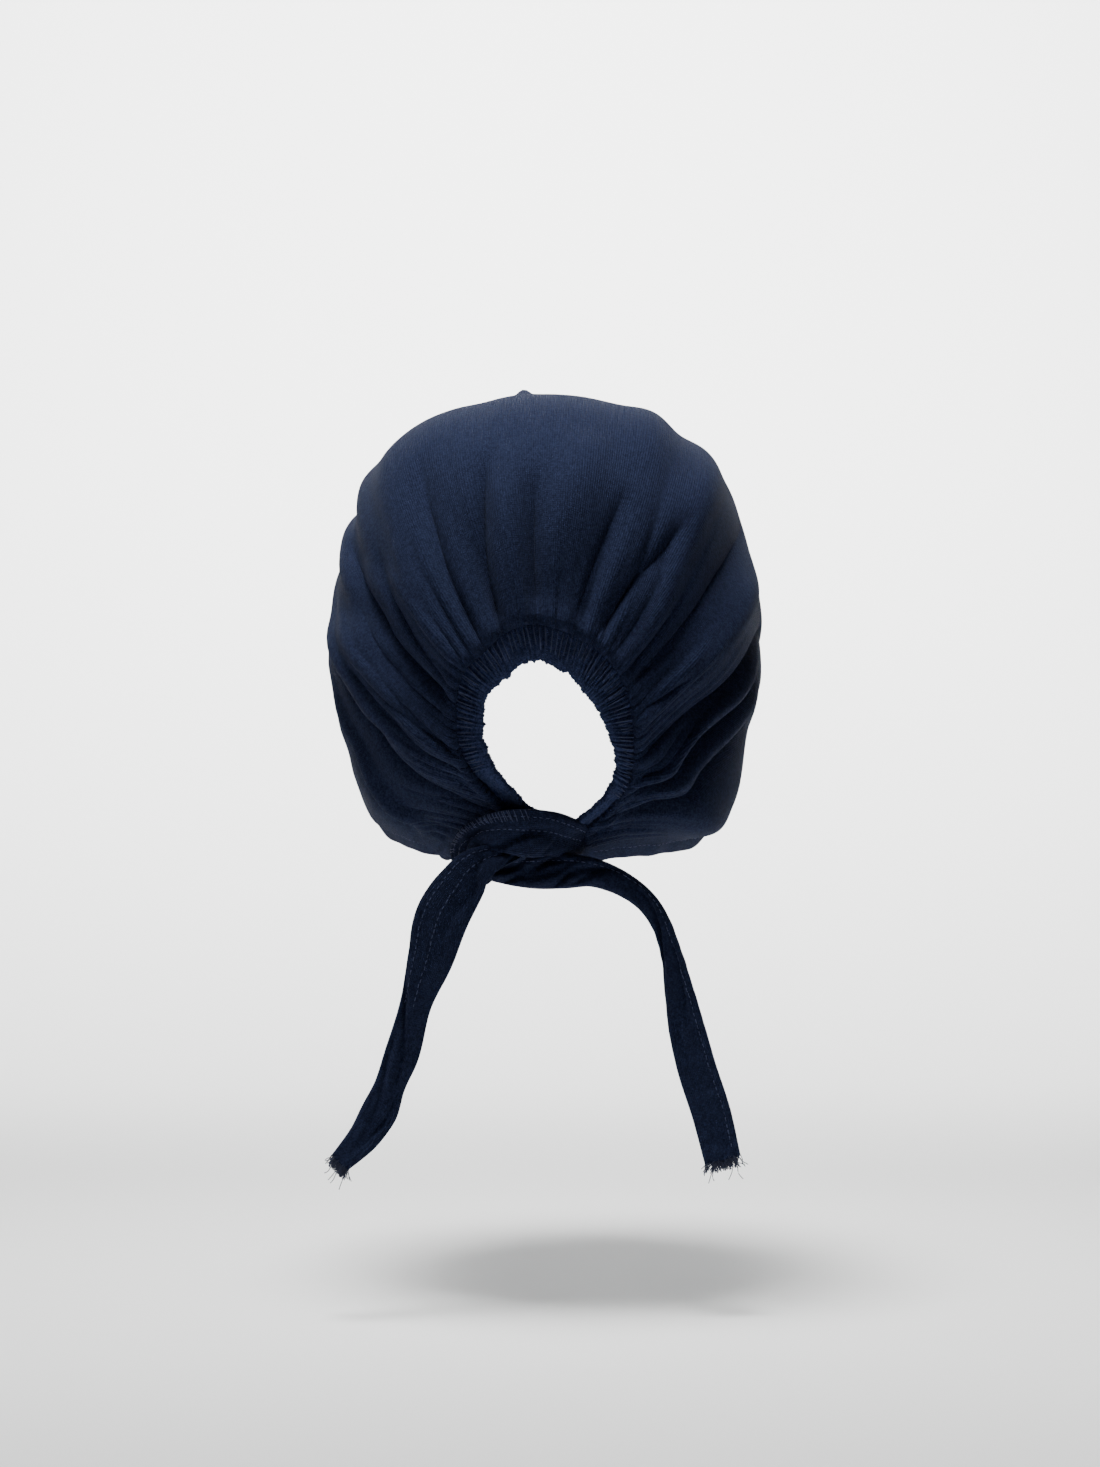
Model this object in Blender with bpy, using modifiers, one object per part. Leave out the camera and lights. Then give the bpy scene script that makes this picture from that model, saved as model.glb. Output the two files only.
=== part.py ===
# Tie-back bonnet of stretch jersey in the shape that it takes on a head: a crown gathered
# round a nape opening, the elastic casing of that opening, a hem, and two ties in a half knot.
# Metres, +Z up. The wearer faces -Y and the wearer's left is +X, so the back that is tied is +Y.
# The origin is the underside of the crown's top, where the head bears on the cloth.

import math

import bpy
import numpy as np

# The form that the cloth is stretched over, to the cloth's outer face, from the form's centre
FORM_HALF_WIDTH = 0.0820
FORM_BACK = 0.0950
FORM_FRONT = 0.0960
FORM_ABOVE = 0.0930
FORM_BELOW = 0.0980
FORM_POWER = 2.3  # 2 is an ellipsoid, and more is squarer
FORM_BROW_TAPER = 0.09  # share of its width that the form loses towards the brow

CLOTH_WALL = 0.0016
SEAM_GAP = 0.0003  # between pieces that are sewn together

# The nape opening and the casing round it, as seen from straight behind
OPENING_RADIUS = 0.0246
OPENING_DROP = 0.0370  # below the form's centre
OPENING_TO_RIGHT = 0.0011
CASING_WIDTH = 0.0140
CASING_THICKNESS = 0.0040
CASING_RIBS = 52
CASING_RIB_DEPTH = 0.0009

HEM_WIDTH = 0.0100
HEM_THICKNESS = 0.0030

# The ties: a rolled strand through the knot, and a flat tail below it
STRAND = 0.0100  # the rolled strand's usual width, which the knot's table counts in
TAIL_LENGTH = 0.1120  # how far each tail hangs below the knot
TIE_WIDTH = 0.0200
TIE_THICKNESS = 0.0026
KNOT_DROP = 0.0768  # the knot's middle below the form's centre
KNOT_TO_LEFT = 0.0053
KNOT_STANDOFF = 0.0060  # from the form's face to the middle of the knot

GATHER_HEIGHT = 0.0030  # the fold table's unit
FOLD_AT_EDGE = 0.15  # how far into its swell a fold already is where it leaves the inner edge
FOLD_SWELL = 0.8  # power of the swell along a fold, and less is fuller

# Mesh density
CROWN_COLUMNS = 78
CROWN_ROWS = 20
SECTION_POINTS = 10
HEM_SECTIONS = 84
HEM_POINTS = 8
CASING_POINTS = 8
RIGHT_TIE_SECTIONS = 60
LEFT_TIE_SECTIONS = 44

CENTRE_DROP = FORM_ABOVE - CLOTH_WALL  # the origin is on the crown's underside
RIGHT = -1.0  # the wearer's right is -X

# Opening's outline: clock angle in degrees from the top towards the wearer's right,
# reach as a share of OPENING_RADIUS, casing width as a share of CASING_WIDTH
OPENING_OUTLINE = (
    (-168, 1.03, 0.50),
    (-140, 0.86, 0.58),
    (-116, 0.86, 0.65),
    (-90, 0.93, 0.68),
    (-68, 0.99, 0.76),
    (-55, 1.06, 0.86),
    (-38, 1.02, 0.96),
    (-10, 1.12, 1.00),
    (12, 0.98, 1.03),
    (40, 0.84, 1.05),
    (76, 0.84, 0.78),
    (98, 0.95, 0.56),
    (114, 1.08, 0.50),
    (134, 1.14, 0.50),
    (157, 1.22, 0.50),
)

# The crown's edge at each tie's root, from the hem inwards, in STRANDs from the knot's middle:
# to the wearer's left, up
LEFT_ROOT = ((3.34, -0.38), (2.69, 0.40))
RIGHT_ROOT = ((-1.94, -0.38),)

# Face edge: share along it from below the ear to the brow, bearing in degrees from the back,
# height as a share of FORM_ABOVE, or of FORM_BELOW where it is below the centre
FACE_EDGE = (
    (0.00, 88, -0.600),
    (0.14, 99, -0.440),
    (0.30, 109, -0.220),
    (0.46, 121, -0.020),
    (0.62, 136, 0.140),
    (0.80, 156, 0.280),
    (1.00, 180, 0.335),
)

# How the cloth's grain fans from the inner edge (the knot and the casing) to the face edge:
# place along the fan, share along the inner edge, share along the face edge,
# direction in which the grain leaves the inner edge, in degrees from up towards the right
GRAIN = (
    (0.00, 0.000, 0.000, -80),
    (0.10, 0.120, 0.060, -82),
    (0.20, 0.240, 0.170, -82),
    (0.30, 0.345, 0.290, -70),
    (0.40, 0.450, 0.395, -44),
    (0.50, 0.560, 0.500, -4),
    (0.60, 0.670, 0.605, 36),
    (0.70, 0.775, 0.710, 62),
    (0.80, 0.865, 0.815, 74),
    (0.90, 0.940, 0.925, 80),
    (1.00, 1.000, 1.000, 85),
)

# Folds: place along the fan at the inner edge and at the far end, share of the way out where
# it starts and ends, half width along the fan, height as a share of GATHER_HEIGHT
FOLDS = (
    (0.030, 0.150, 0.15, 0.66, 0.016, -0.8),
    (0.045, 0.195, 0.12, 0.62, 0.018, 1.0),
    (0.167, 0.250, 0.03, 0.62, 0.015, -1.3),
    (0.225, 0.275, 0.05, 0.60, 0.018, 0.8),
    (0.285, 0.292, 0.00, 0.45, 0.015, 0.7),
    (0.318, 0.326, 0.00, 0.32, 0.011, -0.8),
    (0.346, 0.347, 0.00, 0.38, 0.012, -1.2),
    (0.335, 0.342, 0.32, 0.72, 0.014, 0.9),
    (0.366, 0.382, 0.00, 0.28, 0.011, -0.7),
    (0.380, 0.381, 0.24, 0.74, 0.013, 0.8),
    (0.402, 0.412, 0.00, 0.42, 0.014, 0.6),
    (0.428, 0.438, 0.00, 0.30, 0.011, -0.6),
    (0.456, 0.478, 0.00, 0.26, 0.011, -1.0),
    (0.478, 0.490, 0.00, 0.30, 0.012, 0.5),
    (0.500, 0.502, 0.00, 0.22, 0.011, -0.6),
    (0.515, 0.534, 0.04, 0.36, 0.013, 0.7),
    (0.541, 0.556, 0.00, 0.20, 0.012, -0.6),
    (0.562, 0.570, 0.26, 0.66, 0.014, 0.8),
    (0.573, 0.602, 0.00, 0.24, 0.012, -0.7),
    (0.604, 0.608, 0.05, 0.72, 0.014, 0.8),
    (0.640, 0.664, 0.00, 0.50, 0.014, -1.2),
    (0.686, 0.700, 0.00, 0.52, 0.018, 0.8),
    (0.737, 0.780, 0.00, 0.62, 0.015, -1.2),
    (0.780, 0.792, 0.00, 0.55, 0.016, 0.8),
    (0.823, 0.806, 0.00, 0.70, 0.014, -1.1),
    (0.852, 0.836, 0.05, 0.60, 0.016, 0.6),
    (0.890, 0.857, 0.06, 0.74, 0.016, -1.0),
    (0.920, 0.930, 0.15, 0.98, 0.045, 1.5),
)

# Knot and ties. Every row is one section: place in STRANDs from the knot's middle (to the
# wearer's left, back, up), the way the section's face looks, then width and thickness in STRANDs
RIGHT_TIE_KNOT = (
    (-1.70, -0.42, 0.06, -0.1, 0.75, -0.65, 0.82, 0.22),
    (-1.36, 0.10, 0.34, 0.0, 0.85, -0.45, 1.25, 0.44),
    (-0.78, 0.76, 0.60, 0.0, 0.95, -0.2, 1.48, 0.62),
    (0.00, 1.18, 0.66, 0.0, 1.0, 0.0, 1.54, 0.70),
    (0.90, 1.28, 0.70, 0.0, 1.0, 0.0, 1.36, 0.70),
    (1.75, 0.98, 0.54, 0.25, 0.97, 0.1, 1.15, 0.56),
    (2.38, 0.30, 0.04, 0.5, 0.85, 0.0, 0.95, 0.40),
    (2.38, -0.38, -0.75, 0.5, 0.6, -0.6, 0.90, 0.30),
    (2.02, -0.98, -1.22, 0.1, 0.0, -1.0, 0.90, 0.26),
    (1.60, -1.50, -0.80, -0.1, -1.0, -0.3, 0.90, 0.24),
    (1.15, -1.50, -0.12, -0.1, -1.0, 0.3, 0.90, 0.24),
    (0.70, -0.98, 0.10, 0.0, -0.4, 0.9, 0.95, 0.22),
    (0.45, -0.35, 0.00, 0.0, 0.0, 1.0, 1.00, 0.20),
    (0.52, 0.42, -0.07, 0.0, 0.2, 1.0, 1.05, 0.18),
    (0.92, 1.02, -0.27, 0.0, 0.8, 0.6, 1.10, 0.22),
    (1.48, 1.22, -0.66, 0.05, 1.0, 0.2, 1.20, 0.26),
    (2.10, 1.22, -0.90, 0.05, 1.0, 0.1, 1.75, 0.26),
    (2.47, 1.20, -1.42, 0.0, 1.0, 0.05, 1.90, 0.26),
)
LEFT_TIE_KNOT = (
    (2.83, -1.48, -0.20, 0.45, 0.6, -0.65, 0.78, 0.22),
    (2.35, -1.06, -0.42, 0.3, 0.9, -0.3, 0.90, 0.36),
    (1.60, -0.52, -0.62, 0.15, 1.0, -0.1, 0.88, 0.55),
    (0.75, -0.12, -0.70, 0.0, 1.0, 0.0, 0.92, 0.72),
    (-0.30, 0.15, -0.71, 0.0, 1.0, 0.0, 1.18, 0.80),
    (-1.30, 0.20, -0.71, 0.0, 1.0, 0.0, 1.22, 0.80),
    (-2.20, 0.20, -0.78, 0.0, 1.0, 0.0, 1.05, 0.75),
    (-2.85, 0.20, -1.02, 0.0, 1.0, 0.1, 0.95, 0.60),
)

# Tails: drop below the knot's middle, to the wearer's left and back of it as shares of
# TAIL_LENGTH, the way the face looks, width as a share of TIE_WIDTH, thickness of TIE_THICKNESS
LEFT_HANGING_TAIL = (
    (0.20, 0.272, 0.110, 0.0, 1.0, 0.1, 0.96, 1.0),
    (0.35, 0.317, 0.090, 0.1, 1.0, 0.1, 0.82, 1.0),
    (0.48, 0.359, 0.075, 0.0, 1.0, 0.0, 0.58, 1.3),
    (0.66, 0.410, 0.070, -0.1, 1.0, 0.0, 0.62, 1.3),
    (0.75, 0.445, 0.075, -0.2, 1.0, 0.0, 0.56, 1.4),
    (0.83, 0.477, 0.080, -0.2, 1.0, 0.0, 0.66, 1.2),
    (0.90, 0.519, 0.090, -0.1, 1.0, 0.0, 0.58, 1.3),
    (0.99, 0.602, 0.100, 0.0, 1.0, 0.0, 0.40, 1.3),
)
RIGHT_HANGING_TAIL = (
    (0.18, -0.383, 0.030, 0.3, 0.9, 0.3, 0.38, 1.7),
    (0.25, -0.424, 0.030, 0.5, 0.9, 0.2, 0.36, 1.7),
    (0.34, -0.453, 0.025, 0.5, 0.9, 0.0, 0.42, 1.5),
    (0.45, -0.476, 0.025, 0.3, 1.0, 0.0, 0.54, 1.2),
    (0.57, -0.500, 0.030, 0.2, 1.0, 0.0, 0.66, 1.0),
    (0.69, -0.530, 0.040, 0.1, 1.0, 0.0, 0.70, 1.0),
    (0.84, -0.578, 0.050, 0.0, 1.0, 0.0, 0.70, 1.0),
    (0.985, -0.613, 0.065, 0.0, 1.0, 0.0, 0.66, 1.0),
)


def read_table(rows, at):
    # A smooth curve through a table's rows, read at places in its first column
    rows = np.array(rows, float)
    place, value = rows[:, 0], rows[:, 1:]
    slope = np.gradient(value, place, axis=0)
    at = np.clip(np.atleast_1d(np.asarray(at, float)), place[0], place[-1])
    i = np.clip(np.searchsorted(place, at, side="right") - 1, 0, len(place) - 2)
    step = (place[i + 1] - place[i])[:, None]
    t = (at - place[i])[:, None] / step
    return (
        (2 * t**3 - 3 * t**2 + 1) * value[i]
        + (t**3 - 2 * t**2 + t) * step * slope[i]
        + (3 * t**2 - 2 * t**3) * value[i + 1]
        + (t**3 - t**2) * step * slope[i + 1]
    )


def unit(vectors):
    return vectors / np.linalg.norm(vectors, axis=-1, keepdims=True)


def along(points):
    # Share of the way along a line of points, by length
    steps = np.linalg.norm(np.diff(points, axis=0), axis=1)
    length = np.concatenate([[0.0], np.cumsum(steps)])
    return length / length[-1]


def at_share(points, share):
    place = along(points)
    return np.stack([np.interp(share, place, points[:, k]) for k in range(3)], axis=-1)


def half_axes(points):
    # The form's half axes on the side of the centre that each point is
    return np.stack(
        [
            np.full(points.shape[:-1], FORM_HALF_WIDTH),
            np.where(points[..., 1] > 0, FORM_BACK, FORM_FRONT),
            np.where(points[..., 2] > 0, FORM_ABOVE, FORM_BELOW),
        ],
        axis=-1,
    )


def onto_form(points):
    # Each point moved along its line from the centre to the form's face
    size = (np.abs(points) / half_axes(points)) ** FORM_POWER
    return points / size.sum(-1, keepdims=True) ** (1 / FORM_POWER)


def form_normal(points):
    axes = half_axes(points)
    return unit(np.sign(points) * (np.abs(points) / axes) ** (FORM_POWER - 1) / axes)


def seen_from_behind(x, z):
    # The point of the form's back face at this place in the view from behind
    axes = half_axes(np.stack([x, np.ones_like(x), z], axis=-1))
    left = 1 - (np.abs(x) / axes[..., 0]) ** FORM_POWER - (np.abs(z) / axes[..., 2]) ** FORM_POWER
    y = FORM_BACK * np.maximum(left, 0.0) ** (1 / FORM_POWER)
    return np.stack([x, y, z], axis=-1)


def at_bearing(bearing, height):
    # The point of the form's face at a bearing from the back, towards +X, and a height
    z = height * np.where(height > 0, FORM_ABOVE, FORM_BELOW)
    flat = np.stack([np.sin(bearing), np.cos(bearing), np.zeros_like(z)], axis=-1)
    size = ((np.abs(flat) / half_axes(flat)) ** FORM_POWER).sum(-1)
    reach = ((1 - np.abs(height) ** FORM_POWER) / size) ** (1 / FORM_POWER)
    return flat * reach[..., None] + np.stack([z * 0, z * 0, z], axis=-1)


def in_frame(points):
    # From the form's centre to the part's frame, with the form narrowed towards the brow
    forward = np.clip(-points[..., 1] / FORM_FRONT, 0, 1)
    x = points[..., 0] * (1 - FORM_BROW_TAPER * forward**2)
    return np.stack([x, points[..., 1], points[..., 2] - CENTRE_DROP], axis=-1)


def opening_edge(clock, outward):
    # A point round the opening: outward is 0 on its edge and 1 on the casing's outer border
    reach, width = read_table(OPENING_OUTLINE, clock).T
    radius = reach * OPENING_RADIUS + outward * width * CASING_WIDTH
    clock = np.radians(clock)
    x = RIGHT * (OPENING_TO_RIGHT + radius * np.sin(clock))
    return seen_from_behind(x, radius * np.cos(clock) - OPENING_DROP)


def root_edge(rows, casing_end):
    # The crown's edge from the hem past a tie's root to the end of the casing
    left, up = np.array(rows).T * STRAND
    corners = seen_from_behind(KNOT_TO_LEFT + left, up - KNOT_DROP)
    corners = np.vstack([corners, casing_end])
    return at_share(corners, np.linspace(0, 1, 20)[:-1])


def inner_edge():
    # The crown's edge at the knot and the casing, from the left hem round to the right one
    first, last = OPENING_OUTLINE[0][0], OPENING_OUTLINE[-1][0]
    border = opening_edge(np.linspace(first, last, 160), 1.0)
    left = root_edge(LEFT_ROOT, border[0])
    right = root_edge(RIGHT_ROOT, border[-1])[::-1]
    return onto_form(np.concatenate([left, border, right]))


def face_edge():
    bearing, height = read_table(FACE_EDGE, np.linspace(0, 1, 80)).T
    left = at_bearing(np.radians(bearing), height)
    right = left[::-1] * [-1, 1, 1]
    return np.concatenate([left, right[1:]])


def grain_lines(columns, rows):
    # The crown's grid on the form: columns run from the inner edge to the face edge
    inner, outer = inner_edge(), face_edge()
    place = np.linspace(0, 1, columns + 1)
    inner_share, outer_share, leaving = read_table(GRAIN, place).T
    start = unit(at_share(inner, inner_share))
    end_points = at_share(outer, outer_share)
    end = unit(end_points)
    leaving = np.radians(leaving)
    leave = np.stack([RIGHT * np.sin(leaving), 0 * leaving, np.cos(leaving)], axis=-1)
    leave = unit(leave - (leave * start).sum(-1, keepdims=True) * start)
    edge = unit(np.gradient(end_points, axis=0))
    over = unit(np.cross(edge, form_normal(end_points)))
    over *= np.sign((over * [0, -1, -0.5]).sum(-1, keepdims=True))
    side = np.where(place < 0.5, 1.0, -1.0)[:, None]
    turn = np.clip(np.minimum(place, 1 - place) / 0.22, 0, 1)[:, None]
    turn = (turn * turn * (3 - 2 * turn)) * math.pi / 2
    arrive = unit(side * edge * np.cos(turn) + over * np.sin(turn))
    angle = np.arccos(np.clip((start * end).sum(-1, keepdims=True), -1, 1))
    pull = 4 * np.tan(angle / 4)
    t = (np.linspace(0, 1, rows + 1) ** 1.15)[None, :, None]
    lines = (
        (2 * t**3 - 3 * t**2 + 1) * start[:, None]
        + (t**3 - 2 * t**2 + t) * (pull * leave)[:, None]
        + (3 * t**2 - 2 * t**3) * end[:, None]
        + (t**3 - t**2) * (pull * arrive)[:, None]
    )
    return place, t[0, :, 0], onto_form(lines)


def smooth_step(t):
    t = np.clip(t, 0, 1)
    return t * t * (3 - 2 * t)


def fold_height(place, out):
    # Height of the folds over the form: ridges and valleys along the grain
    u, v = place[:, None], out[None, :]
    height = np.zeros(np.broadcast_shapes(u.shape, v.shape))
    for near, far, start, end, width, share in FOLDS:
        middle = near + (far - near) * smooth_step((v - start) / (end - start))
        across = np.exp(-(((u - middle) / width) ** 2))
        span = np.clip((v - start) / (end - start), 0, 1)
        rise = FOLD_AT_EDGE if start == 0 else 0.0
        swell = np.sin(math.pi * (rise + (1 - rise) * span)) ** FOLD_SWELL
        height += share * GATHER_HEIGHT * across * swell * (span < 1)
    return height


def material(name, color, roughness):
    made = bpy.data.materials.new(name)
    made.use_nodes = True
    shader = made.node_tree.nodes["Principled BSDF"]
    shader.inputs["Base Color"].default_value = (*color, 1.0)
    shader.inputs["Roughness"].default_value = roughness
    shader.inputs["Metallic"].default_value = 0.0
    return made


def add_object(name, points, faces, cloth, collection):
    mesh = bpy.data.meshes.new(name)
    mesh.from_pydata([tuple(p) for p in points], [], faces)
    mesh.validate()
    mesh.materials.append(cloth)
    mesh.shade_smooth()
    made = bpy.data.objects.new(name, mesh)
    collection.objects.link(made)
    return made


def loft(name, rings, cloth, collection):
    # A closed solid through a row of like sections, with a flat cap at each end
    count, around = rings.shape[:2]
    faces = []
    for i in range(count - 1):
        for j in range(around):
            a, b = i * around + j, i * around + (j + 1) % around
            faces.append((a, b, b + around, a + around))
    faces.append(tuple(reversed(range(around))))
    faces.append(tuple(range((count - 1) * around, count * around)))
    return add_object(name, rings.reshape(-1, 3), faces, cloth, collection)


def ring(centres, across, outward, width, thickness, points, power=2.6):
    # Sections of a strap: rounded flat shapes, wide along across and thick along outward
    angle = np.linspace(0, 2 * math.pi, points, endpoint=False) + math.pi / points
    c, s = np.cos(angle), np.sin(angle)
    c = np.sign(c) * np.abs(c) ** (2 / power)
    s = np.sign(s) * np.abs(s) ** (2 / power)
    width = np.asarray(width)[:, None, None] / 2
    thickness = np.asarray(thickness)[:, None, None] / 2
    return (
        centres[:, None]
        + across[:, None] * c[None, :, None] * width
        + outward[:, None] * s[None, :, None] * thickness
    )


def build_crown(cloth, collection):
    place, out, grid = grain_lines(CROWN_COLUMNS, CROWN_ROWS)
    normal = form_normal(grid)
    grid = grid + normal * fold_height(place, out)[..., None]
    columns, rows = grid.shape[:2]
    faces = []
    for i in range(columns - 1):
        for j in range(rows - 1):
            a, b = i * rows + j, (i + 1) * rows + j
            faces.append((a, a + 1, b + 1, b))
    crown = add_object("crown", in_frame(grid).reshape(-1, 3), faces, cloth, collection)
    wall = crown.modifiers.new("Wall", "SOLIDIFY")
    wall.thickness = CLOTH_WALL
    wall.offset = -1
    return grid, normal


def build_hem(grid, normal, cloth, collection):
    # The band along the crown's lower and front edges, from tie to tie
    edge = np.concatenate([grid[0, :-1], grid[:, -1], grid[-1, -2::-1]])
    toward = np.concatenate([grid[1, :-1], grid[:, -2], grid[-2, -2::-1]])
    face = np.concatenate([normal[0, :-1], normal[:, -1], normal[-1, -2::-1]])
    share = np.linspace(0, 1, HEM_SECTIONS)
    place = along(edge)
    line, face = (
        np.stack([np.interp(share, place, values[:, k]) for k in range(3)], axis=-1)
        for values in (edge, face)
    )
    inside = np.stack([np.interp(share, place, toward[:, k]) for k in range(3)], axis=-1)
    forward = unit(np.gradient(line, axis=0))
    across = unit(np.cross(forward, face))
    across *= np.sign(((line - inside) * across).sum(-1, keepdims=True))
    centre = line + across * (SEAM_GAP + HEM_WIDTH / 2) - face * CLOTH_WALL / 2
    width = np.full(HEM_SECTIONS, HEM_WIDTH)
    thickness = np.full(HEM_SECTIONS, HEM_THICKNESS)
    rings = ring(centre, across, face, width, thickness, HEM_POINTS)
    loft("hem", in_frame(rings), cloth, collection)


def build_casing(cloth, collection):
    first, last = OPENING_OUTLINE[0][0], OPENING_OUTLINE[-1][0]
    count = 2 * CASING_RIBS + 1
    clock = np.linspace(first, last, count)
    inner, outer = opening_edge(clock, 0.0), opening_edge(clock, 1.0)
    face = form_normal((inner + outer) / 2)
    outer = outer - unit(outer - inner) * SEAM_GAP
    rib = np.where(np.arange(count) % 2 == 0, 1.0, 0.0)
    inner = inner + unit(inner - outer) * (rib * CASING_RIB_DEPTH * 0.5)[:, None]
    centre = (inner + outer) / 2 - face * CLOTH_WALL / 2
    width = np.linalg.norm(outer - inner, axis=1)
    thickness = CASING_THICKNESS - (1 - rib) * CASING_RIB_DEPTH
    rings = ring(centre, unit(outer - inner), face, width, thickness, CASING_POINTS)
    loft("elastic_casing", in_frame(rings), cloth, collection)


def tie_rows(knot_rows, tail_rows):
    # Both tables of a tie in metres from the form's centre
    x, z = np.array([KNOT_TO_LEFT]), np.array([-KNOT_DROP])
    middle = seen_from_behind(x, z)[0] + [0, KNOT_STANDOFF, 0]
    knot, tail = np.array(knot_rows), np.array(tail_rows)
    drop, left, back = tail[:, 0], tail[:, 1], tail[:, 2]
    hanging = np.stack([left, back, -drop], axis=-1) * TAIL_LENGTH
    centres = middle + np.concatenate([knot[:, :3] * STRAND, hanging])
    faces = np.concatenate([knot[:, 3:6], tail[:, 3:6]])
    sizes = np.concatenate(
        [knot[:, 6:] * STRAND, tail[:, 6:] * [TIE_WIDTH, TIE_THICKNESS]]
    )
    return centres, faces, sizes


def build_tie(name, knot_rows, tail_rows, sections, cloth, collection):
    centres, faces, sizes = tie_rows(knot_rows, tail_rows)
    place = along(centres)
    table = np.column_stack([place, centres, unit(faces), sizes])
    rows = read_table(table, np.linspace(0, 1, sections))
    centre, face, width, thickness = rows[:, :3], rows[:, 3:6], rows[:, 6], rows[:, 7]
    forward = unit(np.gradient(centre, axis=0))
    across = unit(np.cross(face, forward))
    outward = np.cross(forward, across)
    rings = ring(centre, across, outward, width, thickness, SECTION_POINTS)
    loft(name, in_frame(rings), cloth, collection)


def main():
    for old in list(bpy.data.objects):
        bpy.data.objects.remove(old)
    collection = bpy.data.collections.new("tie_back_bonnet")
    bpy.context.scene.collection.children.link(collection)
    jersey = material("jersey", (0.016, 0.024, 0.062), 0.85)
    casing = material("gathered_jersey", (0.018, 0.026, 0.070), 0.85)
    hem = material("hem_jersey", (0.013, 0.020, 0.052), 0.85)
    tie = material("tie_jersey", (0.012, 0.017, 0.045), 0.85)
    grid, normal = build_crown(jersey, collection)
    build_hem(grid, normal, hem, collection)
    build_casing(casing, collection)
    build_tie("right_tie", RIGHT_TIE_KNOT, LEFT_HANGING_TAIL, RIGHT_TIE_SECTIONS, tie, collection)
    build_tie("left_tie", LEFT_TIE_KNOT, RIGHT_HANGING_TAIL, LEFT_TIE_SECTIONS, tie, collection)


main()
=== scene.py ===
import math

import bpy
import numpy as np
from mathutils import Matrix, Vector


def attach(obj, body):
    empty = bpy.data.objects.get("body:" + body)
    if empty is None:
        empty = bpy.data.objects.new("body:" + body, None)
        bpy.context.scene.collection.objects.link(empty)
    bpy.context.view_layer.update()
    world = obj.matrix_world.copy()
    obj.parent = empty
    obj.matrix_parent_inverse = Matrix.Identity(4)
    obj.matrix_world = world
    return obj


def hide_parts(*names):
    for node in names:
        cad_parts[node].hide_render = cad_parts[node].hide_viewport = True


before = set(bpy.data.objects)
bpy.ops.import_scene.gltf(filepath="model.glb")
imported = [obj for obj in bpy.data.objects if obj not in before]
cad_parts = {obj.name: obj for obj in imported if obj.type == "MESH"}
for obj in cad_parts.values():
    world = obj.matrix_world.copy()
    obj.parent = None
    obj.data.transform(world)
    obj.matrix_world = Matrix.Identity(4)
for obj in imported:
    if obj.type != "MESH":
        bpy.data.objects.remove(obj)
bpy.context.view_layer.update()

rng = np.random.default_rng(11)

# the form that the cloth is stretched over, in metres from its centre
form = {
    "halfWidth": 0.0820, "back": 0.0950, "front": 0.0960, "above": 0.0930, "below": 0.0980,
    "power": 2.3, "browTaper": 0.09, "wall": 0.0016,
}
centreDrop = form["above"] - form["wall"]  # the origin is the underside of the crown's top
right = -1.0  # the wearer's right is -X

nape = {"radius": 0.0246, "drop": 0.0370, "toRight": 0.0011, "casingWidth": 0.0140}

# clock angle from the top towards the wearer's right, reach of radius, width of casingWidth
openingOutline = (
    (-186, 1.16, 0.50), (-168, 1.03, 0.50), (-140, 0.86, 0.58), (-116, 0.86, 0.65), (-90, 0.93, 0.68),
    (-68, 0.99, 0.76), (-55, 1.06, 0.86), (-38, 1.02, 0.96), (-10, 1.12, 1.00),
    (12, 0.98, 1.03), (40, 0.84, 1.05), (76, 0.84, 0.78), (98, 0.95, 0.56),
    (114, 1.08, 0.50), (134, 1.14, 0.50), (157, 1.22, 0.50), (178, 1.40, 0.50),
)
tie = {
    "strand": 0.0100, "tail": 0.1120, "width": 0.0200, "thickness": 0.0026,
    "drop": 0.0768, "toLeft": 0.0053, "standoff": 0.0060,
    "points": 64, "power": 2.8, "sections": 520, "wrinkle": 0.00022, "crumple": 0.00025,
    "pleats": 20, "pleatDepth": 0.0020, "pleatWidth": 0.19, "edgeHold": 0.85, "flatShare": 0.8,
    "rightLines": (-0.70, -0.16), "rightStitchedTo": 0.76,
    "leftLines": (0.62,), "leftStitchedTo": 0.99,
}
seam = {"groove": 0.00022, "grooveWidth": 0.07}  # what a line of stitches presses into the cloth
leftRoot = ((3.34, -0.38), (2.69, 0.40))  # strands left and up of the knot's middle
rightRoot = ((-1.94, -0.38),)

# share along the face edge, bearing from the back, height of above or below
faceEdge = (
    (0.00, 88, -0.600), (0.14, 99, -0.440), (0.30, 109, -0.220), (0.46, 121, -0.020),
    (0.62, 136, 0.140), (0.80, 156, 0.280), (1.00, 180, 0.335),
)

# place along the fan, share of the inner edge, share of the face edge, leaving angle
grain = (
    (0.00, 0.000, 0.000, -80), (0.10, 0.120, 0.060, -82), (0.20, 0.240, 0.170, -82),
    (0.30, 0.345, 0.290, -70), (0.40, 0.450, 0.395, -44), (0.50, 0.560, 0.500, -4),
    (0.60, 0.670, 0.605, 36), (0.70, 0.775, 0.710, 62), (0.80, 0.865, 0.815, 74),
    (0.90, 0.940, 0.925, 80), (1.00, 1.000, 1.000, 85),
)

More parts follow.
